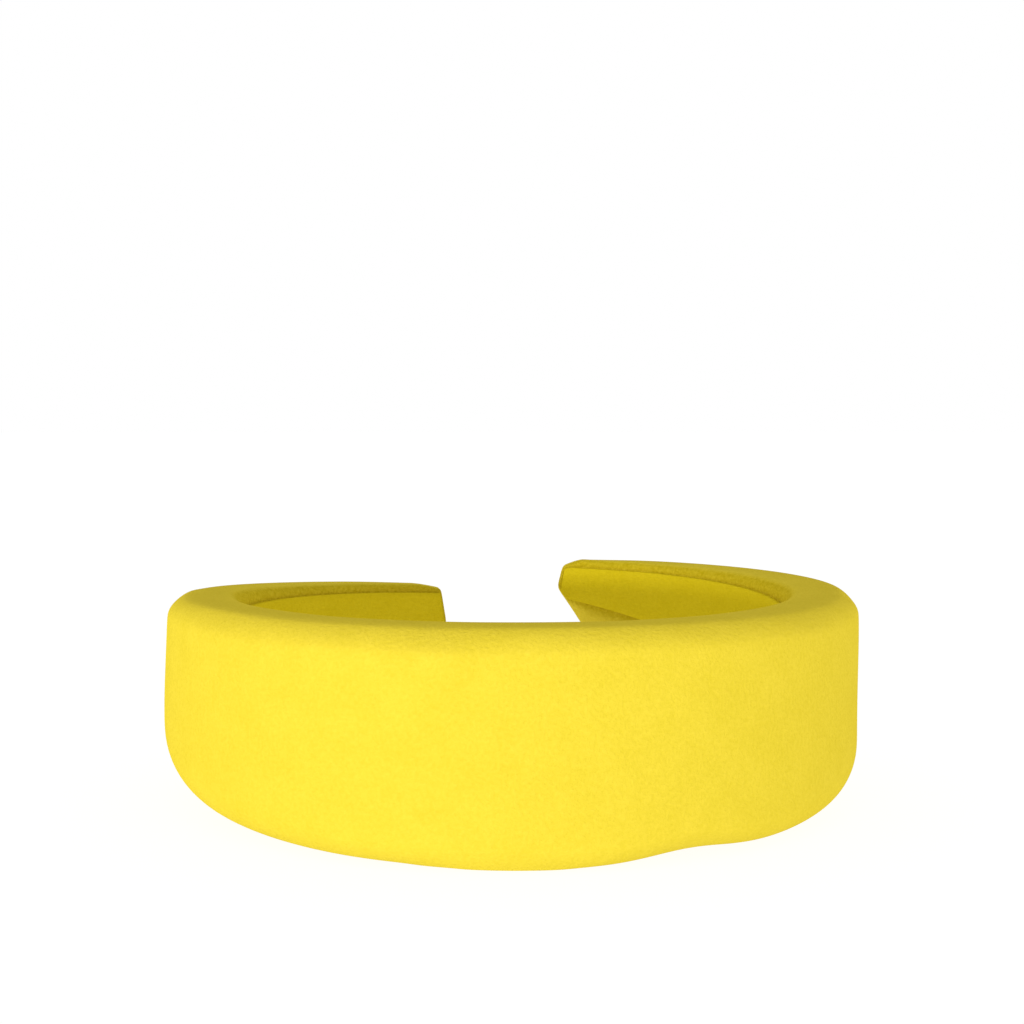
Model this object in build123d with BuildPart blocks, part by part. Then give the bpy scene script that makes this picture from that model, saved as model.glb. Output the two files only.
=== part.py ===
"""Padded fabric headband (Alice band), lying on its lower edge.

A springy plastic band carries a thick foam pad on its outer face.  A velvet cover goes
round both, turns in over the inner face, and is closed there by a glued lining strip.

Frame, in millimetres: +Z up, the floor at z = 0, the crown towards -Y, the gap between
the two tips towards +Y, and the origin under the centre of the whole band's box.
"""

import os
from math import cos, radians, sin

from build123d import *

# Plan of the outer face: half a circle in front, and a smaller arc in each arm behind it.
crown_radius = 75.0
arm_radius = 64.5
left_arm_sweep = 83.5
right_arm_sweep = 88.0
front_sweep = 90.0
station_step = 30.0

# Height of the padded band
band_height = 44.0
left_tip_drop = 4.5
right_tip_lift = 2.2
tip_height = 17.0

# Thickness of the padded band, through the cover and the foam
crown_thickness = 18.0
side_thickness = 15.0
tip_thickness = 6.6

# Rounding of the padded band's four long edges
upper_edge_radius = 5.0
lower_edge_radius = 7.5
inner_edge_radius = 2.6
largest_round_share = 0.44

# The tips are cut back at their lower corner.
left_nose_height = 10.0
right_nose_height = 7.5
nose_slope = 58.0

# Cloth, plastic and glue
cover_thickness = 1.2
lining_thickness = 0.8
spring_thickness = 1.6
tape_thickness = 0.3

# Width of the plastic band and of the lining strip, at the crown and at the tips
spring_crown_width = 28.0
spring_tip_width = 5.0
spring_crown_drop = (band_height - spring_crown_width) / 2
spring_tip_drop = 4.2
lining_overlap = 1.4
hem_width = 2.0
hem_tip_width = 1.2

tape_margin = 0.6

# How far each inner layer stops short of the cover's closed tips
spring_tip_gap = 1.5
lining_tip_gap = 1.0

# Material below the floor line that the flat lower rim is cut from
rim_allowance = 1.0

# A layer that lies on another is drawn this much too deep, and the other layer trims it.
contact_allowance = 0.4
cutting_size = 400.0

os.makedirs("parts", exist_ok=True)

# The crown and the arms reach different distances, and the origin is midway.
centre_shift = (crown_radius - arm_radius) / 2


def arm_sweep(angle):
    """How far, in degrees, the arm on this side of the crown goes round behind."""
    return left_arm_sweep if angle < 0 else right_arm_sweep


def arm_share(angle):
    """0 from the crown to the side, then 1 at the tip."""
    return max(0.0, (abs(angle) - front_sweep) / arm_sweep(angle))


def crown_share(angle):
    """1 at the crown, falling smoothly to 0 at the tip."""
    whole = front_sweep + arm_sweep(angle)
    return cos(radians(90 * min(1.0, abs(angle) / whole)))


def outer_point(angle):
    """Plan position of the outer face, and its outward direction, at this angle."""
    turn = radians(angle)
    outward = Vector(sin(turn), -cos(turn), 0)
    side = -1 if angle < 0 else 1
    if abs(angle) <= front_sweep:
        place = outward * crown_radius
    else:
        place = Vector(side * (crown_radius - arm_radius), 0, 0) + outward * arm_radius
    return place + Vector(0, centre_shift, 0), outward


def band_thickness(angle):
    """Thickness of the padded band: full at the crown, thinner at the sides and tips."""
    front = min(1.0, abs(angle) / front_sweep)
    front_loss = (crown_thickness - side_thickness) * (1 - cos(radians(90 * front)))
    arm_loss = (side_thickness - tip_thickness) * arm_share(angle) ** 1.5
    return crown_thickness - front_loss - arm_loss


def top_height(angle):
    """Height of the upper edge, which drops along the left arm and lifts along the right."""
    tip_change = -left_tip_drop if angle < 0 else right_tip_lift
    return band_height + tip_change * arm_share(angle)


def bottom_height(angle):
    """Height of the lower edge: on the floor in front, and rising along the arms."""
    tip_change = -left_tip_drop if angle < 0 else right_tip_lift
    tip_bottom = band_height + tip_change - tip_height
    return tip_bottom * (1 - cos(radians(90 * arm_share(angle))))


def stations(tip_inset):
    """Angles of the cross-sections from the left tip to the right tip."""
    inset_angle = tip_inset / radians(1) / arm_radius
    angles = [-(front_sweep + left_arm_sweep) + inset_angle]
    angle = -(front_sweep + 2 * station_step)
    while angle <= front_sweep + 2 * station_step:
        angles.append(angle)
        angle += station_step
    angles.append(front_sweep + right_arm_sweep - inset_angle)
    return angles


def section_plane(angle, depth, height):
    """Plane across the band: X goes inward from the outer face, and Y goes up."""
    place, outward = outer_point(angle)
    origin = place - outward * depth + Vector(0, 0, height)
    x_direction = outward * -1
    return Plane(origin=origin, x_dir=x_direction, z_dir=x_direction.cross(Vector(0, 0, 1)))


def padded_section(angle, inset):
    """Rounded cross-section of the padded band, inset evenly on all four sides."""
    thickness = band_thickness(angle) - 2 * inset
    low = bottom_height(angle) - rim_allowance + inset
    high = top_height(angle) - inset
    plane = section_plane(angle, inset + thickness / 2, (low + high) / 2)
    corner_radii = {
        (-1, -1): lower_edge_radius,
        (-1, 1): upper_edge_radius,
        (1, -1): inner_edge_radius,
        (1, 1): inner_edge_radius,
    }
    with BuildSketch(plane) as section:
        Rectangle(thickness, high - low)
        for (across, up), radius in corner_radii.items():
            place = (across * thickness / 2, up * (high - low) / 2)
            corner = section.vertices().sort_by_distance(place)[0]
            fillet(corner, min(radius - inset, largest_round_share * thickness))
    return section.sketch


def strip_section(angle, depth, thickness, drop, width):
    """Plain cross-section of a strip, from its depth behind the outer face inward."""
    plane = section_plane(angle, depth + thickness / 2, top_height(angle) - drop - width / 2)
    with BuildSketch(plane) as section:
        Rectangle(thickness, width)
    return section.sketch


def nose_cut(side, inset):
    """Wedge that cuts a tip's lower corner back, moved into the tip by the inset."""
    angle = side * (front_sweep + (left_arm_sweep if side < 0 else right_arm_sweep))
    nose_height = left_nose_height if side < 0 else right_nose_height
    place = outer_point(angle)[0]
    slope = radians(nose_slope)
    shift = inset / sin(slope)
    nose_x = place.X + side * shift
    nose_z = top_height(angle) - nose_height
    run = band_height / sin(slope) * cos(slope)
    beyond = nose_x - side * (shift + tip_thickness)
    with BuildPart() as wedge:
        with BuildSketch(Plane.XZ.offset(-place.Y - tip_thickness)):
            with BuildLine():
                Polyline(
                    (nose_x, nose_z),
                    (nose_x + side * run, nose_z - band_height),
                    (beyond, nose_z - band_height),
                    (beyond, nose_z),
                    close=True,
                )
            make_face()
        extrude(amount=crown_radius)
    return wedge.part


def padded_shape(inset):
    """The padded band's own shape, inset evenly, with a flat lower rim and cut-back tips."""
    with BuildPart() as shape:
        for angle in stations(inset):
            add(padded_section(angle, inset))
        loft()
        with Locations((0, 0, inset - cutting_size / 2)):
            Box(cutting_size, cutting_size, cutting_size, mode=Mode.SUBTRACT)
        add(nose_cut(-1, inset), mode=Mode.SUBTRACT)
        add(nose_cut(1, inset), mode=Mode.SUBTRACT)
    return shape.part


def spring_drop(angle):
    """Distance from the band's upper edge down to the plastic band."""
    return spring_tip_drop + (spring_crown_drop - spring_tip_drop) * crown_share(angle)


def spring_width(angle):
    """Width of the plastic band, which tapers from the crown to the tips."""
    return spring_tip_width + (spring_crown_width - spring_tip_width) * crown_share(angle)


def hem(angle):
    """How far the cover's turned-in edge laps over the plastic band's edge."""
    return hem_tip_width + (hem_width - hem_tip_width) * crown_share(angle)


def spring_layer(depth, thickness, margin):
    """A strip as wide as the plastic band less a margin, this deep in from the inner face."""
    with BuildPart() as layer:
        for angle in stations(cover_thickness + spring_tip_gap + margin):
            place = band_thickness(angle) - depth - thickness
            drop = spring_drop(angle) + margin
            add(strip_section(angle, place, thickness, drop, spring_width(angle) - 2 * margin))
        loft()
    return layer.part


def slot_layer():
    """The slot between the cover's turned-in edges, run past both faces of the cloth."""
    thickness = cover_thickness + 2 * contact_allowance
    with BuildPart() as layer:
        for angle in stations(cover_thickness + spring_tip_gap + hem_width):
            place = band_thickness(angle) + contact_allowance - thickness
            drop = spring_drop(angle) + hem(angle)
            add(strip_section(angle, place, thickness, drop, spring_width(angle) - 2 * hem(angle)))
        loft()
    return layer.part


def lining_layer():
    """The lining strip, drawn a little too deep, so that the cover's face can trim it."""
    thickness = lining_thickness + contact_allowance
    with BuildPart() as layer:
        for angle in stations(lining_tip_gap):
            place = band_thickness(angle) - contact_allowance
            drop = spring_drop(angle) - lining_overlap
            add(strip_section(angle, place, thickness, drop, spring_width(angle) + 2 * lining_overlap))
        loft()
    return layer.part


envelope = padded_shape(0)
core = padded_shape(cover_thickness)
slot = slot_layer()

# Plastic spring band: it lies against the inner layer of the cover.
with BuildPart() as spring_band:
    spring_depth = cover_thickness - contact_allowance
    add(spring_layer(spring_depth, spring_thickness + contact_allowance, 0))
    add(core, mode=Mode.INTERSECT)
spring_band.part.label = "spring_band"
export_step(spring_band.part, "parts/spring_band.step")

# Double-sided tape between the plastic band and the foam
with BuildPart() as foam_tape:
    tape_depth = cover_thickness + spring_thickness - contact_allowance
    add(spring_layer(tape_depth, tape_thickness + contact_allowance, tape_margin))
    add(core, mode=Mode.INTERSECT)
    add(spring_band.part, mode=Mode.SUBTRACT)
foam_tape.part.label = "foam_tape"
export_step(foam_tape.part, "parts/foam_tape.step")

# Foam pad: it fills the cover, round the plastic band and its tape.
with BuildPart() as foam_pad:
    add(core)
    add(spring_band.part, mode=Mode.SUBTRACT)
    add(foam_tape.part, mode=Mode.SUBTRACT)
foam_pad.part.label = "foam_pad"
export_step(foam_pad.part, "parts/foam_pad.step")

# Glue that fills the slot between the cover's two turned-in edges
with BuildPart() as lining_glue:
    add(slot)
    add(envelope, mode=Mode.INTERSECT)
    add(core, mode=Mode.SUBTRACT)
lining_glue.part.label = "lining_glue"
export_step(lining_glue.part, "parts/lining_glue.step")

# Velvet cover: a closed skin round the foam, open only in the slot that the glue fills
with BuildPart() as outer_cover:
    add(envelope)
    add(core, mode=Mode.SUBTRACT)
    add(slot, mode=Mode.SUBTRACT)
outer_cover.part.label = "outer_cover"
export_step(outer_cover.part, "parts/outer_cover.step")

# Lining strip: it lies on the cover's inner face, over the slot and both turned-in edges.
with BuildPart() as inner_lining:
    add(lining_layer())
    add(envelope, mode=Mode.SUBTRACT)
    add(nose_cut(-1, lining_tip_gap), mode=Mode.SUBTRACT)
    add(nose_cut(1, lining_tip_gap), mode=Mode.SUBTRACT)
inner_lining.part.label = "inner_lining"
export_step(inner_lining.part, "parts/inner_lining.step")
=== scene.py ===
from math import cos, pi, radians, tan

import bpy
import numpy as np
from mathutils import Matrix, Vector


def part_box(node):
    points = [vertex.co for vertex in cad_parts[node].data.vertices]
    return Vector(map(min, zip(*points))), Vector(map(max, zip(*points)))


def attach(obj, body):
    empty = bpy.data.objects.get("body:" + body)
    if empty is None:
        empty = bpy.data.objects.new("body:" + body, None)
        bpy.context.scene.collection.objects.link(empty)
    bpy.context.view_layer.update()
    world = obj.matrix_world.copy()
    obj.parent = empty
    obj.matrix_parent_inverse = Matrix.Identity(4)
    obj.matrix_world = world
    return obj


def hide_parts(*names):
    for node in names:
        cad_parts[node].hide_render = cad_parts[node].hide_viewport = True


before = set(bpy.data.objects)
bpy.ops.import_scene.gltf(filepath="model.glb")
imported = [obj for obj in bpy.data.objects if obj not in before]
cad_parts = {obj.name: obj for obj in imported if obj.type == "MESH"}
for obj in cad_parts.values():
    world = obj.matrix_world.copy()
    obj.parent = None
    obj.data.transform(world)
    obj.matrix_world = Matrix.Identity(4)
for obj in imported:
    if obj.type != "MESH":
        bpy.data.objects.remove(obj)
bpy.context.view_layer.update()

# ---------------------------------------------------------------------------------------
# Driving sizes, in metres unless a name says otherwise
# ---------------------------------------------------------------------------------------

MM = 0.001
TINY = MM / 100

# Plan of the outer face, from the frame: half a circle in front, a smaller arc in each arm
cover_low, cover_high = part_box("outer_cover")
CROWN_RADIUS = (cover_high.x - cover_low.x) / 2
ARM_RADIUS = (cover_high.y - cover_low.y) - CROWN_RADIUS
CENTRE_Y = cover_low.y + CROWN_RADIUS
FRONT_ARC = CROWN_RADIUS * pi / 2
LEFT_SWEEP = radians(83.5)
RIGHT_SWEEP = radians(88.6)

# Section of the padded band; the foam thins out towards the tips, slowly at first
BAND_HEIGHT = 44.0 * MM
LEFT_TIP_CHANGE = -4.2 * MM
RIGHT_TIP_CHANGE = 1.7 * MM
TIP_HEIGHT = 17.0 * MM
CROWN_THICKNESS = 18.0 * MM
SIDE_THICKNESS = 15.0 * MM
TIP_THICKNESS = 6.6 * MM
THINNING = 1.5
UPPER_ROUND = 4.4 * MM
LOWER_ROUND = 7.0 * MM
INNER_ROUND = 2.6 * MM

# The lower outer edge is tight at the crown, full at the sides, where it also lifts a
# little, and tight again along the arms.
CROWN_LOWER_ROUND = 4.0 * MM
LEFT_LOWER_ROUND = 16.0 * MM
RIGHT_LOWER_ROUND = 13.0 * MM
ARM_LOWER_ROUND = 4.5 * MM
LEFT_SIDE_RISE = 3.6 * MM
RIGHT_SIDE_RISE = 4.2 * MM
LEFT_RISE_TAPER = 2.0
RIGHT_RISE_TAPER = 2.6
LEFT_ROUND_TAPER = 1.5
RIGHT_ROUND_TAPER = 2.1

# The upper edge stands a little higher along the arms than in front.
LEFT_ARM_LIFT = 0.15 * MM
RIGHT_ARM_LIFT = 0.8 * MM
SIDE_TAPER = 3

# The lower edge puckers up once, on the right of the front.
PUCKER_LIFT = 1.6 * MM
PUCKER_PLACE = 36.0 * MM
PUCKER_REACH = 13.0 * MM

# The band leans a little to its left: how far its sides stand out low down, and where,
# as shares of its height
LEFT_LEAN = 1.2 * MM
RIGHT_LEAN = -0.5 * MM
LEAN_HEIGHT = 0.38
LEAN_REACH = 0.38

# The foam thins out below the plastic strip, so that the arms' inner face slants there.
ARM_SLANT = 0.42
SLANT_RUN = 0.45
LEAST_SLANT_SHARE = 0.05

# Each tip leans out from its upper corner to its nose: how far each of the two moves.
LEFT_TIP_LEAN = (-1.5 * MM, 0.3 * MM)
RIGHT_TIP_LEAN = (-1.1 * MM, 0.8 * MM)

# The cover's cloth: its mass, and how it resists stretching, shearing and bending
CLOTH_QUALITY = 5
CLOTH_MASS = 0.1
STRETCH_STIFFNESS = 15
SHEAR_STIFFNESS = 5
BENDING_STIFFNESS = 0.5

# The foam pushes the cover out: strength and length of the push, its limit, the room left
# for it at the upper edge, and the runs near the tips and the strip that it spares
PUFF_PRESSURE = 90.0
PUFF_FRAMES = 20
PUFF_LIMIT = 1.0 * MM
PUFF_ROOM = 0.8 * MM
PUFF_EVENING = 14
CALM_TIP_RUN = 14.0 * MM
CALM_EDGE_RUN = 3.0 * MM

# How far past the strip's edge, and above the floor, the cloth is still held
STRIP_HOLD = 0.5 * MM
FLOOR_HOLD = 0.1 * MM

# The foam core inside the cloth, and its recess for the plastic strip
CLOTH_THICKNESS = 1.2 * MM
STRIP_RECESS = 3.5 * MM
RECESS_RUN = 2.5 * MM
RECESS_TIP_GAP = 1.5 * MM

# Painted shade: the inner face is coloured darker from this share of the depth inward, and fully
# darker from the second share.
INNER_SHADE_DEPTH = 0.87
FULL_INNER_SHADE_DEPTH = 0.935

# The tips: the lower corner is folded back on a slant, and the upper one is eased down.
LEFT_NOSE_HEIGHT = 10.0 * MM
RIGHT_NOSE_HEIGHT = 7.5 * MM
NOSE_SLOPE = radians(58)
LEFT_EASE_LENGTH = 9.0 * MM
LEFT_EASE_DROP = 1.1 * MM
RIGHT_EASE_LENGTH = 6.0 * MM
RIGHT_EASE_DROP = 2.0 * MM
EASE_BEND = 1.5
FOLD_ROUND = 0.9 * MM

# Spacing of the cross-sections, along the band and close to the tips
LONG_STEP = 3.0 * MM
SHORT_STEP = 0.9 * MM
FOLD_STEP = 0.25 * MM
TIP_RUN = 10.0 * MM

# The lining strip, glued down into the pile of the cover
LINING_THICKNESS = 0.8 * MM
LINING_SINK = 0.2 * MM
LINING_EDGE_ROUND = 0.36 * MM
LINING_DROP_CROWN = 6.6 * MM
LINING_DROP_TIP = 2.0 * MM
LINING_WIDTH_CROWN = 30.8 * MM
LINING_WIDTH_TIP = 7.6 * MM
LINING_TIP_GAP = 0.8 * MM


# ---------------------------------------------------------------------------------------
# Shape of the band, laid out straight: X along it from the crown, Y inward, Z up
# ---------------------------------------------------------------------------------------

def by_side(along, left, right):
    """The left or the right value, for the side that this distance along the band is on."""
    return left if along < 0 else right


def arm_sweep(along):
    return by_side(along, LEFT_SWEEP, RIGHT_SWEEP)


def tip_at(side):
    """Distance along the outer face from the crown to a tip."""
    return side * (FRONT_ARC + ARM_RADIUS * arm_sweep(side))


def from_tip(along):
    """Distance back from the nearer tip."""
    return abs(tip_at(by_side(along, -1, 1))) - abs(along)


def arm_share(along):
    """0 from the crown to the side, then 1 at the tip."""
    return max(0.0, abs(along) - FRONT_ARC) / (ARM_RADIUS * arm_sweep(along))


def crown_share(along):
    """1 at the crown, falling smoothly to 0 at the tip."""
    turn = front_share(along) * pi / 2 + arm_share(along) * arm_sweep(along)
    return cos(pi / 2 * min(1.0, turn / (pi / 2 + arm_sweep(along))))


def front_share(along):
    """0 at the crown, rising to 1 at the side, and 1 along the arm."""
    return min(abs(along), FRONT_ARC) / FRONT_ARC


def side_share(along):
    """0 in front, rising to 1 at the side, and falling again to 0 at the tip."""
    return front_share(along) ** SIDE_TAPER * (1 - arm_share(along))


def bump(value, centre, reach):
    """A soft hump, 1 at its centre."""
    return np.exp(-(((value - centre) / reach) ** 2))


def thickness_at(along):
    front_loss = (CROWN_THICKNESS - SIDE_THICKNESS) * (1 - cos(pi / 2 * front_share(along)))
    arm_loss = (SIDE_THICKNESS - TIP_THICKNESS) * arm_share(along) ** THINNING
    return CROWN_THICKNESS - front_loss - arm_loss


def upper_edge(along):
    """Height of the upper edge, before the tip is eased."""
    change = by_side(along, LEFT_TIP_CHANGE, RIGHT_TIP_CHANGE)
    lift = by_side(along, LEFT_ARM_LIFT, RIGHT_ARM_LIFT)
    return BAND_HEIGHT + lift * front_share(along) ** SIDE_TAPER + change * arm_share(along)


def top_at(along):
    """Height of the upper edge, eased down at the tip."""
    length = by_side(along, LEFT_EASE_LENGTH, RIGHT_EASE_LENGTH)
    drop = by_side(along, LEFT_EASE_DROP, RIGHT_EASE_DROP)
    return upper_edge(along) - drop * max(0.0, 1 - from_tip(along) / length) ** EASE_BEND


def bottom_at(along):
    """Height of the lower edge: on the floor in front, rising along the arms to the nose."""
    nose_height = by_side(along, LEFT_NOSE_HEIGHT, RIGHT_NOSE_HEIGHT)
    tip_bottom = BAND_HEIGHT + by_side(along, LEFT_TIP_CHANGE, RIGHT_TIP_CHANGE) - TIP_HEIGHT
    side_rise = by_side(along, LEFT_SIDE_RISE, RIGHT_SIDE_RISE)
    taper = by_side(along, LEFT_RISE_TAPER, RIGHT_RISE_TAPER)
    rise = side_rise * front_share(along) ** taper
    rise += (tip_bottom - side_rise) * (1 - cos(pi / 2 * arm_share(along)))
    rise += PUCKER_LIFT * bump(along, PUCKER_PLACE, PUCKER_REACH)
    nose = upper_edge(along) - nose_height - from_tip(along) * tan(NOSE_SLOPE)
    return max(rise, nose)


def lining_drop(along):
    """Distance from the upper edge down to the lining."""
    return LINING_DROP_TIP + (LINING_DROP_CROWN - LINING_DROP_TIP) * crown_share(along) ** 2


def lining_width(along):
    return LINING_WIDTH_TIP + (LINING_WIDTH_CROWN - LINING_WIDTH_TIP) * crown_share(along)


def fold_inset(distance, radius):
    """How far a rounded end draws in, this distance back from its very end."""
    short = min(radius, max(0.0, radius - distance))
    return radius - (radius**2 - short**2) ** 0.5


def cover_section(along):
    """Outer and inner depth, and lower and upper height, of the padded band."""
    inset = fold_inset(from_tip(along), FOLD_ROUND)
    low, high = bottom_at(along) + inset, top_at(along) - inset
    return inset, thickness_at(along) - inset, low, high


def lining_section(along):
    """The same for the lining strip, which lies on the band's inner face."""
    inside = thickness_at(along)
    high = upper_edge(along) - lining_drop(along)
    low = high - lining_width(along)
    low = max(low, bottom_at(along) + LINING_TIP_GAP)
    high = min(high, top_at(along) - LINING_TIP_GAP)
    return inside - LINING_SINK, inside + LINING_THICKNESS, low, high


def stations(first, last, step):
    """Evenly spaced distances along the band, both ends included."""
    count = max(1, round((last - first) / step))
    return [first + (last - first) * index / count for index in range(count + 1)]


def band_stations(tip_gap):
    """Distances along the band, spaced finely where the tips curve."""
    ends = []
    for side in (-1, 1):
        tip = abs(tip_at(side)) - tip_gap
        fold = stations(tip - FOLD_ROUND, tip, FOLD_STEP)
        nose = stations(tip - TIP_RUN, tip - FOLD_ROUND, SHORT_STEP)
        ends.append([side * place for place in nose[:-1] + fold])
    middle = stations(ends[0][0], ends[1][0], LONG_STEP)
    return ends[0][:0:-1] + middle + ends[1][1:]


# ---------------------------------------------------------------------------------------
# Modelling helpers
# ---------------------------------------------------------------------------------------

def deselect_all():
    if bpy.context.object and bpy.context.object.mode != "OBJECT":
        bpy.ops.object.mode_set(mode="OBJECT")
    bpy.ops.object.select_all(action="DESELECT")


def make_active(piece):
    deselect_all()
    piece.select_set(True)
    bpy.context.view_layer.objects.active = piece


def select_verts(piece, chosen):
    """Selects the vertices that chosen(position) accepts, then goes into edit mode."""
    bpy.ops.object.mode_set(mode="EDIT")
    bpy.ops.mesh.select_mode(type="VERT")
    bpy.ops.mesh.select_all(action="DESELECT")
    bpy.ops.object.mode_set(mode="OBJECT")
    for vertex in piece.data.vertices:
        vertex.select = chosen(vertex.co)
    bpy.ops.object.mode_set(mode="EDIT")


def apply_modifier(piece, kind, **settings):
    """Adds one modifier with its settings, and applies it to the mesh."""
    make_active(piece)
    modifier = piece.modifiers.new(kind.title(), kind)
    for name, value in settings.items():
        setattr(modifier, name, value)
    bpy.ops.object.modifier_apply(modifier=modifier.name)


def band_path():
    """The plan of the outer face as one open curve, from the left arm to the right one."""
    kappa = 4 / 3 * tan(pi / 8)
    arm_x = CROWN_RADIUS - ARM_RADIUS
    bpy.ops.curve.primitive_bezier_curve_add(location=(0, 0, 0))
    path = bpy.context.object
    spline = path.data.splines[0]
    spline.bezier_points.add(3)
    # Each point: its place, its direction, and its handle lengths behind and ahead
    knots = (
        ((-arm_x, ARM_RADIUS), (-1, 0), kappa * ARM_RADIUS, kappa * ARM_RADIUS),
        ((-CROWN_RADIUS, 0), (0, -1), kappa * ARM_RADIUS, kappa * CROWN_RADIUS),
        ((0, -CROWN_RADIUS), (1, 0), kappa * CROWN_RADIUS, kappa * CROWN_RADIUS),
        ((CROWN_RADIUS, 0), (0, 1), kappa * CROWN_RADIUS, kappa * ARM_RADIUS),
        ((arm_x, ARM_RADIUS), (-1, 0), kappa * ARM_RADIUS, kappa * ARM_RADIUS),
    )
    for point, (place, direction, behind, ahead) in zip(spline.bezier_points, knots):
        place = Vector((place[0], place[1] + CENTRE_Y, 0))
        direction = Vector((*direction, 0))
        point.handle_left_type = point.handle_right_type = "FREE"
        point.co = place
        point.handle_left = place - direction * behind
        point.handle_right = place + direction * ahead
    path.data.resolution_u = 64
    path.data.twist_mode = "Z_UP"
    return path


def bend_round(piece, path):
    """Bends a piece that was made straight round the head, along the band's plan."""
    make_active(piece)
    crown_distance = FRONT_ARC + ARM_RADIUS * pi / 2
    piece.data.transform(piece.matrix_world)
    piece.matrix_world.identity()
    for vertex in piece.data.vertices:
        vertex.co.x += crown_distance
    apply_modifier(piece, "CURVE", object=path, deform_axis="POS_X")


# ---------------------------------------------------------------------------------------
# Sections and extruded strips
# ---------------------------------------------------------------------------------------

def start_section(along, box, corners, cuts):
    """One end of a strip: a rounded rectangle across it, as a single face in edit mode.

    corners holds the radius and segments of each corner, and cuts the points added to
    each straight side, in the order outer, inner, lower and upper.
    """
    outer, inner, low, high = box
    deselect_all()
    bpy.ops.mesh.primitive_plane_add(size=1, location=(0, 0, 0))
    piece = bpy.context.object
    # The plane's X becomes the band's inward direction, and its Y the band's height.
    for vertex in piece.data.vertices:
        across, up = vertex.co.x + 0.5, vertex.co.y + 0.5
        vertex.co = (along, outer + across * (inner - outer), low + up * (high - low))
    for (depth, height), (radius, segments) in corners.items():
        corner = Vector((along, (outer, inner)[depth], (low, high)[height]))
        select_verts(piece, lambda co: (co - corner).length < TINY)
        bpy.ops.mesh.bevel(offset=radius, segments=segments, affect="VERTICES")
    sides = (
        lambda co: co.y < outer + TINY,
        lambda co: co.y > inner - TINY,
        lambda co: co.z < low + TINY,
        lambda co: co.z > high - TINY,
    )
    for chosen, count in zip(sides, cuts):
        select_verts(piece, chosen)
        bpy.ops.mesh.select_mode(type="EDGE")
        bpy.ops.mesh.subdivide(number_cuts=count)
    return piece


def fit_section(before, here, old, new):
    """Brings the selected section from its old box to its new one."""
    depth_growth = (new[1] - new[0]) / (old[1] - old[0])
    height_growth = (new[3] - new[2]) / (old[3] - old[2])
    bpy.ops.transform.translate(value=(here - before, new[0] - old[0], new[3] - old[3]))
    bpy.ops.transform.resize(
        value=(1, depth_growth, height_growth), center_override=(here, new[0], new[3])
    )


def extrude_strip(name, places, section, full_size, corners, cuts):
    """A strip pushed out of one end, section by section, to the other end."""
    piece = start_section(places[0], full_size, corners, cuts)
    piece.name = piece.data.name = name
    bpy.ops.mesh.select_mode(type="FACE")
    bpy.ops.mesh.select_all(action="SELECT")
    fit_section(places[0], places[0], full_size, section(places[0]))
    for before, here in zip(places, places[1:]):
        bpy.ops.mesh.extrude_region_move()
        fit_section(before, here, section(before), section(here))
    bpy.ops.mesh.select_all(action="SELECT")
    bpy.ops.mesh.normals_make_consistent(inside=False)
    bpy.ops.object.mode_set(mode="OBJECT")
    return piece


def positions(piece):
    """The piece's vertices as an array, one row each."""
    flat = np.empty(len(piece.data.vertices) * 3)
    piece.data.vertices.foreach_get("co", flat)
    return flat.reshape(-1, 3)


def set_positions(piece, points):
    piece.data.vertices.foreach_set("co", points.ravel())
    piece.data.update()


# ---------------------------------------------------------------------------------------
# Velvet cover, padded by the foam inside it
# ---------------------------------------------------------------------------------------

def section_shares(straight):
    """Each vertex's place in its cross-section: depth and height from 0 to 1."""
    boxes = np.array([cover_section(along) for along in straight[:, 0]])
    depth = (straight[:, 1] - boxes[:, 0]) / (boxes[:, 1] - boxes[:, 0])
    height = (straight[:, 2] - boxes[:, 2]) / (boxes[:, 3] - boxes[:, 2])
    return boxes, depth, height


def at_each(function, straight):
    """The value of a function of the distance along the band, at each vertex."""
    return np.array([function(along) for along in straight[:, 0]])


def lower_round_at(along):
    """Radius of the lower outer edge, in the crown's full-size section."""
    side = by_side(along, LEFT_LOWER_ROUND, RIGHT_LOWER_ROUND)
    taper = by_side(along, LEFT_ROUND_TAPER, RIGHT_ROUND_TAPER)
    front = CROWN_LOWER_ROUND + (side - CROWN_LOWER_ROUND) * front_share(along) ** taper
    return front + (ARM_LOWER_ROUND - side) * min(1.0, arm_share(along) / SLANT_RUN)


def round_lower_edge(y, z, radius):
    """Turns the section's lower outer rounding, drawn alike all along, to its own radius."""
    tiny = 2 * TINY
    side_top = BAND_HEIGHT - UPPER_ROUND
    floor_end = CROWN_THICKNESS - INNER_ROUND
    corner = (y < LOWER_ROUND + tiny) & (z < LOWER_ROUND + tiny)
    side = (y < tiny) & (z < side_top) & ~corner
    floor = (z < tiny) & (y < floor_end) & ~corner
    turn = np.arctan2(LOWER_ROUND - z, LOWER_ROUND - y)
    side_scale = (side_top - radius) / (side_top - LOWER_ROUND)
    floor_scale = (floor_end - radius) / (floor_end - LOWER_ROUND)
    new_y = np.where(corner, radius * (1 - np.cos(turn)), y)
    new_z = np.where(corner, radius * (1 - np.sin(turn)), z)
    new_z = np.where(side, side_top - (side_top - z) * side_scale, new_z)
    new_y = np.where(floor, floor_end - (floor_end - y) * floor_scale, new_y)
    return new_y, new_z


def lean_tips(straight):
    """Moves each tip's upper corner back and its nose out."""
    leaned = straight.copy()
    for side, (upper, lower) in ((-1, LEFT_TIP_LEAN), (1, RIGHT_TIP_LEAN)):
        tip = abs(tip_at(side))
        back = np.clip((tip - straight[:, 0] * side) / TIP_RUN, 0, 1)
        nose = by_side(side, LEFT_NOSE_HEIGHT, RIGHT_NOSE_HEIGHT)
        down = np.clip((upper_edge(side * tip) - straight[:, 2]) / nose, 0, 1)
        leaned[:, 0] += side * (1 - back) ** 2 * (upper + (lower - upper) * down)
    return leaned


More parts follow.
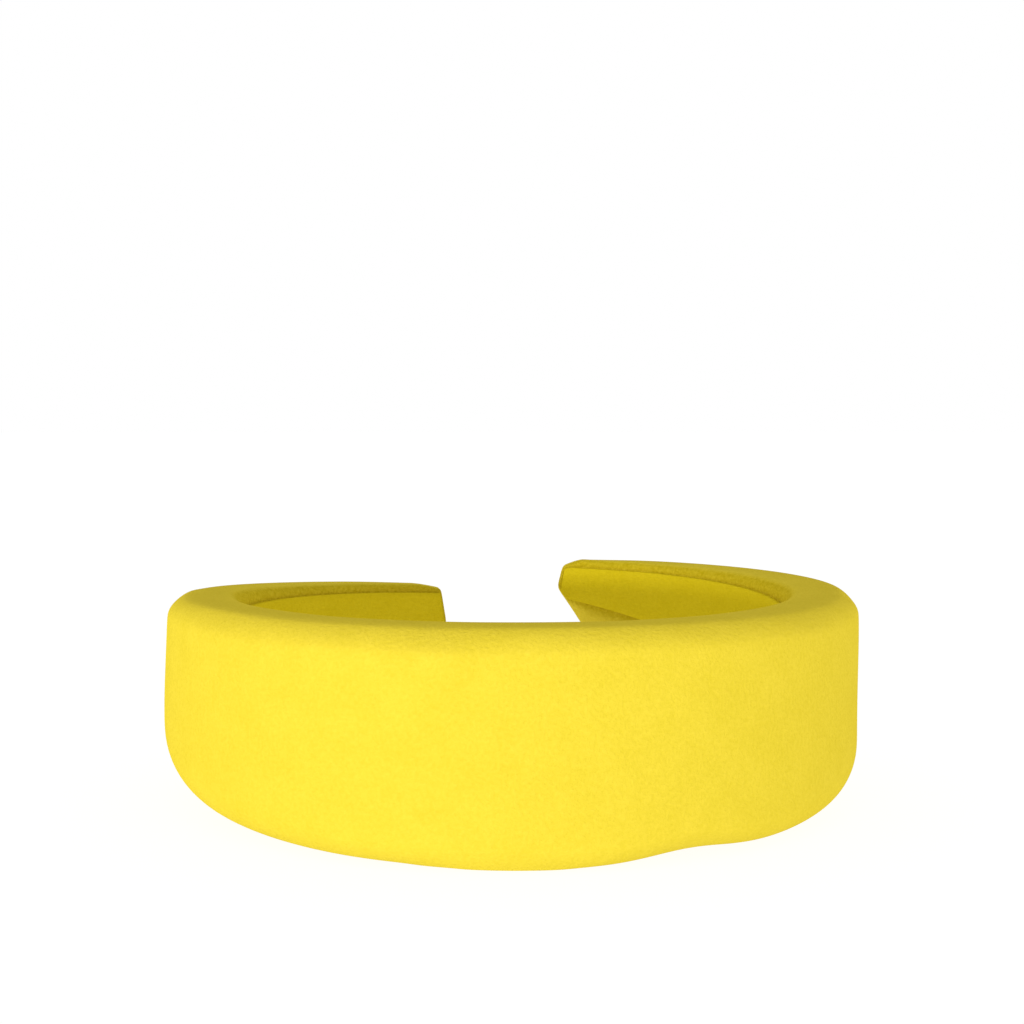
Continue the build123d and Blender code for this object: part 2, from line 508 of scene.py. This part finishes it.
def shape_sections(straight):
    """Gives every section its own lower rounding, lean and slanted inner face."""
    boxes, depth, height = section_shares(straight)
    y, z = depth * CROWN_THICKNESS, height * BAND_HEIGHT
    y, z = round_lower_edge(y, z, at_each(lower_round_at, straight))
    share = at_each(arm_share, straight)
    strip_low = at_each(lambda along: lining_section(along)[2], straight)
    line = (strip_low - boxes[:, 2]) / (boxes[:, 3] - boxes[:, 2])
    below = np.clip((line - z / BAND_HEIGHT) / np.maximum(line, LEAST_SLANT_SHARE), 0, 1)
    y *= 1 - ARM_SLANT * np.clip(share / SLANT_RUN, 0, 1) * below
    amount = np.where(straight[:, 0] < 0, LEFT_LEAN, RIGHT_LEAN)
    lean = amount * at_each(side_share, straight) * bump(z / BAND_HEIGHT, LEAN_HEIGHT, LEAN_REACH)
    shaped = straight.copy()
    shaped[:, 1] = boxes[:, 0] + y / CROWN_THICKNESS * (boxes[:, 1] - boxes[:, 0])
    shaped[:, 1] -= lean * (1 - depth)
    room = PUFF_ROOM * at_each(crown_share, straight)
    shaped[:, 2] = boxes[:, 2] + z / BAND_HEIGHT * (boxes[:, 3] - boxes[:, 2] - room)
    return shaped


def beyond_strip(straight):
    """How far each vertex is from the part of the inner face that the strip holds flat."""
    depth = section_shares(straight)[1]
    low = at_each(lambda along: lining_section(along)[2], straight)
    high = at_each(lambda along: lining_section(along)[3], straight)
    aside = np.maximum(0, np.maximum(low - straight[:, 2], straight[:, 2] - high))
    return aside + (1 - depth) * at_each(thickness_at, straight)


def evened(field, edges, rounds):
    """Averages each vertex's value with its neighbours', which takes fine wrinkles out."""
    ends = np.concatenate((edges, edges[:, ::-1]))
    count = np.bincount(ends[:, 0], minlength=len(field))[:, None]
    for _ in range(rounds):
        total = np.zeros_like(field)
        np.add.at(total, ends[:, 0], field[ends[:, 1]])
        field = (field + total / count) / 2
    return field


def puff(cover, held, freedom):
    """The foam pushes the cloth out; it stays put where the plastic strip backs it.

    freedom, from 0 to 1 at each vertex, calms the push near the tips and near the strip.
    """
    make_active(cover)
    group = cover.vertex_groups.new(name="held")
    group.add([int(index) for index in np.nonzero(held)[0]], 1.0, "REPLACE")
    cloth = cover.modifiers.new("Cloth", "CLOTH")
    cloth.settings.vertex_group_mass = group.name
    cloth.settings.quality = CLOTH_QUALITY
    cloth.settings.mass = CLOTH_MASS
    cloth.settings.tension_stiffness = STRETCH_STIFFNESS
    cloth.settings.compression_stiffness = STRETCH_STIFFNESS
    cloth.settings.shear_stiffness = SHEAR_STIFFNESS
    cloth.settings.bending_stiffness = BENDING_STIFFNESS
    cloth.settings.use_pressure = True
    cloth.settings.uniform_pressure_force = PUFF_PRESSURE
    cloth.settings.effector_weights.gravity = 0
    cloth.collision_settings.use_collision = False
    rest = positions(cover)
    scene = bpy.context.scene
    for step in range(1, PUFF_FRAMES + 1):
        scene.frame_set(step)
    moved = positions(cover.evaluated_get(bpy.context.evaluated_depsgraph_get())) - rest
    cover.modifiers.remove(cloth)
    cover.vertex_groups.remove(group)
    scene.frame_set(1)
    flat = np.empty(len(cover.data.edges) * 2, dtype=int)
    cover.data.edges.foreach_get("vertices", flat)
    moved = evened(moved, flat.reshape(-1, 2), PUFF_EVENING) * freedom[:, None]
    size = np.linalg.norm(moved, axis=1)
    points = rest + moved * (PUFF_LIMIT / np.maximum(size, PUFF_LIMIT))[:, None]
    points[:, 2] = np.maximum(points[:, 2], 0)
    set_positions(cover, points)


def make_cover(path):
    """The padded band: straight first, then bent round, then puffed by its foam."""
    corners = {
        (0, 1): (UPPER_ROUND, 8),
        (0, 0): (LOWER_ROUND, 9),
        (1, 1): (INNER_ROUND, 5),
        (1, 0): (INNER_ROUND, 5),
    }
    full_size = (0, CROWN_THICKNESS, 0, BAND_HEIGHT)
    cuts = (9, 11, 3, 3)
    cover = extrude_strip("velvet_cover", band_stations(0), cover_section, full_size, corners, cuts)
    straight = shape_sections(positions(cover))
    set_positions(cover, lean_tips(straight))
    bend_round(cover, path)
    beyond = beyond_strip(straight)
    on_floor = straight[:, 2] < FLOOR_HOLD
    to_tip = at_each(from_tip, straight)
    freedom = np.clip(to_tip / CALM_TIP_RUN, 0, 1) * np.clip(beyond / CALM_EDGE_RUN, 0, 1)
    puff(cover, (beyond < STRIP_HOLD) | on_floor, np.where(on_floor, 0, freedom))
    # Painted shade: the inner face is marked to be coloured darker, fully so from the deeper share.
    depth = section_shares(straight)[1]
    inner_shade = (depth - INNER_SHADE_DEPTH) / (FULL_INNER_SHADE_DEPTH - INNER_SHADE_DEPTH)
    mark(cover, "inner_shade", np.clip(inner_shade, 0, 1))
    near_strip = np.clip(1 - beyond / RECESS_RUN, 0, 1)
    mark(cover, "recess", near_strip * np.clip(to_tip / RECESS_TIP_GAP - 1, 0, 1))
    return cover


def mark(piece, name, values):
    """Keeps a value from 0 to 1 on each vertex, under this name."""
    attribute = piece.data.attributes.new(name, "FLOAT", "POINT")
    attribute.data.foreach_set("value", np.ascontiguousarray(values, dtype=np.float32))


def make_foam(cover):
    """The foam core: the cover's shape less the cloth, with a recess for the strip."""
    make_active(cover)
    bpy.ops.object.duplicate()
    foam = bpy.context.object
    foam.name = foam.data.name = "foam_core"
    normals = np.array([vertex.normal for vertex in foam.data.vertices])
    recess = np.empty(len(foam.data.vertices), dtype=np.float32)
    foam.data.attributes["recess"].data.foreach_get("value", recess)
    inset = CLOTH_THICKNESS + (STRIP_RECESS - CLOTH_THICKNESS) * recess
    set_positions(foam, positions(foam) - normals * inset[:, None])
    for piece, names in ((foam, ("recess", "inner_shade")), (cover, ("recess",))):
        for name in names:
            piece.data.attributes.remove(piece.data.attributes[name])
    return foam


def make_lining(path):
    """The glued strip on the inner face, which covers the turned-in edges."""
    corners = {(1, 1): (LINING_EDGE_ROUND, 3), (1, 0): (LINING_EDGE_ROUND, 3)}
    full_size = (0, LINING_THICKNESS + LINING_SINK, 0, LINING_WIDTH_CROWN)
    cuts = (5, 9, 0, 0)
    places = band_stations(LINING_TIP_GAP)
    lining = extrude_strip("lining_strip", places, lining_section, full_size, corners, cuts)
    set_positions(lining, lean_tips(positions(lining)))
    bend_round(lining, path)
    return lining


def lining_cut():
    """Length and flat area that the lining strip was cut to, along the inner face."""
    places = band_stations(LINING_TIP_GAP)
    length = area = 0
    for before, here in zip(places, places[1:]):
        middle = (before + here) / 2
        radius = CROWN_RADIUS if abs(middle) < FRONT_ARC else ARM_RADIUS
        run = (here - before) * (1 - thickness_at(middle) / radius)
        _, _, low, high = lining_section(middle)
        length += run
        area += run * (high - low)
    return length, area


path = band_path()
cover = make_cover(path)
foam = make_foam(cover)
lining = make_lining(path)
bpy.data.objects.remove(path)
for padded_piece in (cover, foam):
    apply_modifier(padded_piece, "SUBSURF", levels=1, render_levels=1)

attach(cover, "root")
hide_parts("outer_cover")
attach(foam, "root")
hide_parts("foam_pad")
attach(lining, "root")
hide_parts("inner_lining")
lining_length, lining_area = lining_cut()

# ---------------------------------------------------------------------------------------
# Materials
# ---------------------------------------------------------------------------------------

VELVET_TUFT = 0.75 * MM
VELVET_PATCH = 7.0 * MM
VELVET_RELIEF = 0.3 * MM
FOAM_CELL = 0.9 * MM
FOAM_RELIEF = 0.3 * MM


def linear(hex_colour):
    """An sRGB hex colour as linear red, green, blue and alpha."""
    channels = [int(hex_colour[i:i + 2], 16) / 255 for i in (1, 3, 5)]
    return (*[c / 12.92 if c <= 0.04045 else ((c + 0.055) / 1.055) ** 2.4 for c in channels], 1)


def add_node(tree, kind, settings=None, links=None):
    """Adds a node, gives it settings and input values, and links its inputs."""
    node = tree.nodes.new(kind)
    for name, value in (settings or {}).items():
        if name in node.inputs:
            node.inputs[name].default_value = value
        else:
            setattr(node, name, value)
    for name, source in (links or {}).items():
        tree.links.new(source, node.inputs[name])
    return node


def new_material(name):
    material = bpy.data.materials.new(name)
    material.use_nodes = True
    material.node_tree.nodes.clear()
    return material, material.node_tree


def object_noise(tree, size, detail=2.0, roughness=0.5):
    """Noise whose lumps are about this size, in metres, fixed to the piece."""
    where = add_node(tree, "ShaderNodeTexCoord").outputs["Object"]
    settings = {"Scale": 1 / size, "Detail": detail, "Roughness": roughness}
    return add_node(tree, "ShaderNodeTexNoise", settings, {"Vector": where}).outputs["Fac"]


def ramp(tree, value, *stops):
    """A colour ramp with one colour at each place from 0 to 1."""
    node = add_node(tree, "ShaderNodeValToRGB", None, {"Fac": value})
    elements = node.color_ramp.elements
    while len(elements) < len(stops):
        elements.new(0.5)
    for element, (place, colour) in zip(elements, stops):
        element.position = place
        element.color = linear(colour)
    return node.outputs["Color"]


def bumped(tree, height, strength, depth):
    settings = {"Strength": strength, "Distance": depth}
    return add_node(tree, "ShaderNodeBump", settings, {"Height": height}).outputs["Normal"]


def finish_material(tree, settings, colour, normal):
    links = {"Base Color": colour, "Normal": normal}
    shader = add_node(tree, "ShaderNodeBsdfPrincipled", settings, links)
    add_node(tree, "ShaderNodeOutputMaterial", None, {"Surface": shader.outputs["BSDF"]})


def velvet(name, light, deep, inner_shade, sheen):
    """Short-pile cotton velvet, woven and brushed: matt, with a fine grain where tufts lean
    apart, faint lighter and darker patches, a pale sheen at its edges, and painted shade:
    a darker strip on the inner face."""
    material, tree = new_material(name)
    tufts = object_noise(tree, VELVET_TUFT, 3.0, 0.6)
    patches = object_noise(tree, VELVET_PATCH, 2.0, 0.5)
    mixed = add_node(
        tree, "ShaderNodeMix", {"data_type": "FLOAT", "Factor": 0.3}, {"A": tufts, "B": patches}
    )
    pile = ramp(tree, mixed.outputs["Result"], (0.3, deep), (0.7, light))
    # Painted shade: the darker colour that the inner face is given.
    flat = ramp(tree, tufts, (0.3, inner_shade), (0.9, deep))
    where_inner_shade = add_node(tree, "ShaderNodeAttribute", {"attribute_name": "inner_shade"})
    colour = add_node(
        tree,
        "ShaderNodeMixRGB",
        None,
        {"Fac": where_inner_shade.outputs["Fac"], "Color1": pile, "Color2": flat},
    )
    settings = {
        "Roughness": 0.7,
        "Specular IOR Level": 0.0,
        "Sheen Weight": sheen,
        "Sheen Roughness": 0.4,
        "Sheen Tint": linear("#FFE977"),
    }
    normal = bumped(tree, tufts, 0.7, VELVET_RELIEF)
    finish_material(tree, settings, colour.outputs["Color"], normal)
    return material


def foam_material():
    """Open-cell polyurethane foam, cut from a sheet: pale, chalky, pitted with small cells."""
    material, tree = new_material("polyurethane_foam")
    where = add_node(tree, "ShaderNodeTexCoord").outputs["Object"]
    cells = add_node(tree, "ShaderNodeTexVoronoi", {"Scale": 1 / FOAM_CELL}, {"Vector": where})
    colour = ramp(tree, cells.outputs["Distance"], (0.0, "#C9BC8E"), (0.6, "#F0E8C9"))
    normal = bumped(tree, cells.outputs["Distance"], 0.6, FOAM_RELIEF)
    finish_material(tree, {"Roughness": 0.95, "Specular IOR Level": 0.2}, colour, normal)
    return material


def plastic_material():
    """Injection-moulded ABS: milky white, satin, with faint flow marks."""
    material, tree = new_material("moulded_abs")
    flow = object_noise(tree, 9.0 * MM, 3.0, 0.6)
    colour = ramp(tree, flow, (0.35, "#E4E2D8"), (0.65, "#F3F1E8"))
    settings = {"Roughness": 0.38, "IOR": 1.49}
    finish_material(tree, settings, colour, bumped(tree, flow, 0.15, 0.1 * MM))
    return material


def tape_material():
    """Double-sided acrylic tape: a thin off-white carrier with a slightly tacky gloss."""
    material, tree = new_material("acrylic_tape")
    fibres = object_noise(tree, 0.5 * MM, 4.0, 0.7)
    colour = ramp(tree, fibres, (0.3, "#DAD7C6"), (0.7, "#EFECDD"))
    settings = {"Roughness": 0.45, "IOR": 1.48}
    finish_material(tree, settings, colour, bumped(tree, fibres, 0.2, 0.05 * MM))
    return material


def glue_material():
    """Hot-melt glue, squeezed out warm: amber, smooth and waxy, with soft ripples."""
    material, tree = new_material("hot_melt_glue")
    ripples = object_noise(tree, 2.5 * MM, 2.0, 0.5)
    colour = ramp(tree, ripples, (0.3, "#C69A45"), (0.7, "#DDB866"))
    settings = {"Roughness": 0.3, "IOR": 1.48}
    finish_material(tree, settings, colour, bumped(tree, ripples, 0.4, 0.2 * MM))
    return material


def floor_material():
    """A sheet of opal acrylic lit from below: even, shadowless white."""
    material, tree = new_material("backlit_white_acrylic")
    settings = {
        "Base Color": linear("#707070"),
        "Roughness": 0.9,
        "Specular IOR Level": 0.0,
        "Emission Color": linear("#FFFFFF"),
        "Emission Strength": 0.9,
    }
    shader = add_node(tree, "ShaderNodeBsdfPrincipled", settings)
    add_node(tree, "ShaderNodeOutputMaterial", None, {"Surface": shader.outputs["BSDF"]})
    return material


def cover_with(piece, material):
    piece.data.materials.clear()
    piece.data.materials.append(material)


# The third colour of each velvet is painted shade for the inner face; only the cover carries the
# mark that uses it.
for piece, material in (
    (cover, velvet("cotton_velvet", "#DBC439", "#D0BA2E", "#AE980C", 0.05)),
    (lining, velvet("velvet_lining_strip", "#D2BC1E", "#C8B214", "#AE980A", 0.02)),
    (foam, foam_material()),
):
    cover_with(piece, material)
    make_active(piece)
    bpy.ops.object.shade_smooth()
cover_with(bpy.data.objects["spring_band"], plastic_material())
cover_with(bpy.data.objects["foam_tape"], tape_material())
cover_with(bpy.data.objects["lining_glue"], glue_material())

# ---------------------------------------------------------------------------------------
# Stage, camera and light
# ---------------------------------------------------------------------------------------

CAMERA_DISTANCE = 5.0 * CROWN_RADIUS
CAMERA_ASIDE = -0.3 * MM
CAMERA_HEIGHT = 1.065 * CROWN_RADIUS
CAMERA_PITCH = radians(2.814)
CAMERA_LENS = 59.81
LIGHT_HEIGHT = 0.10
LIGHT_TARGET = (0, 0, 0.03)
FLOOR_SIZE = 60


def area_light(name, place, width, power):
    """A low white strip light on the floor, aimed at the middle of the band."""
    deselect_all()
    bpy.ops.object.light_add(type="AREA", location=place)
    lamp = bpy.context.object
    lamp.name = name
    lamp.data.shape = "RECTANGLE"
    lamp.data.size = width
    lamp.data.size_y = LIGHT_HEIGHT
    lamp.data.energy = power
    direction = Vector(LIGHT_TARGET) - lamp.location
    lamp.rotation_euler = direction.to_track_quat("-Z", "Y").to_euler()


deselect_all()
bpy.ops.mesh.primitive_plane_add(size=FLOOR_SIZE, location=(0, 0, 0))
floor = bpy.context.object
floor.name = "studio_floor"
cover_with(floor, floor_material())

bpy.ops.object.camera_add(location=(CAMERA_ASIDE, CENTRE_Y - CAMERA_DISTANCE, CAMERA_HEIGHT))
camera = bpy.context.object
camera.rotation_euler = (pi / 2 - CAMERA_PITCH, 0, 0)
camera.data.lens = CAMERA_LENS
bpy.context.scene.camera = camera

# A white studio: bright walls all round, and a dimmer ceiling
world = bpy.data.worlds.new("studio_white")
bpy.context.scene.world = world
world.use_nodes = True
sky = world.node_tree
direction = add_node(sky, "ShaderNodeTexCoord").outputs["Generated"]
upward = add_node(sky, "ShaderNodeSeparateXYZ", None, {"Vector": direction}).outputs["Z"]
walls = ramp(sky, upward, (0.28, "#FFFFFF"), (0.5, "#DADADA"), (1.0, "#C6C6C6"))
sky.links.new(walls, sky.nodes["Background"].inputs["Color"])
bpy.context.scene.view_settings.view_transform = "Standard"

area_light("left_panel", (-0.95, -0.85, 0.055), 1.6, 10.5)
area_light("right_panel", (0.62, -1.12, 0.055), 1.4, 6.0)
area_light("back_panel", (0.2, 1.3, 0.055), 2.0, 8.0)
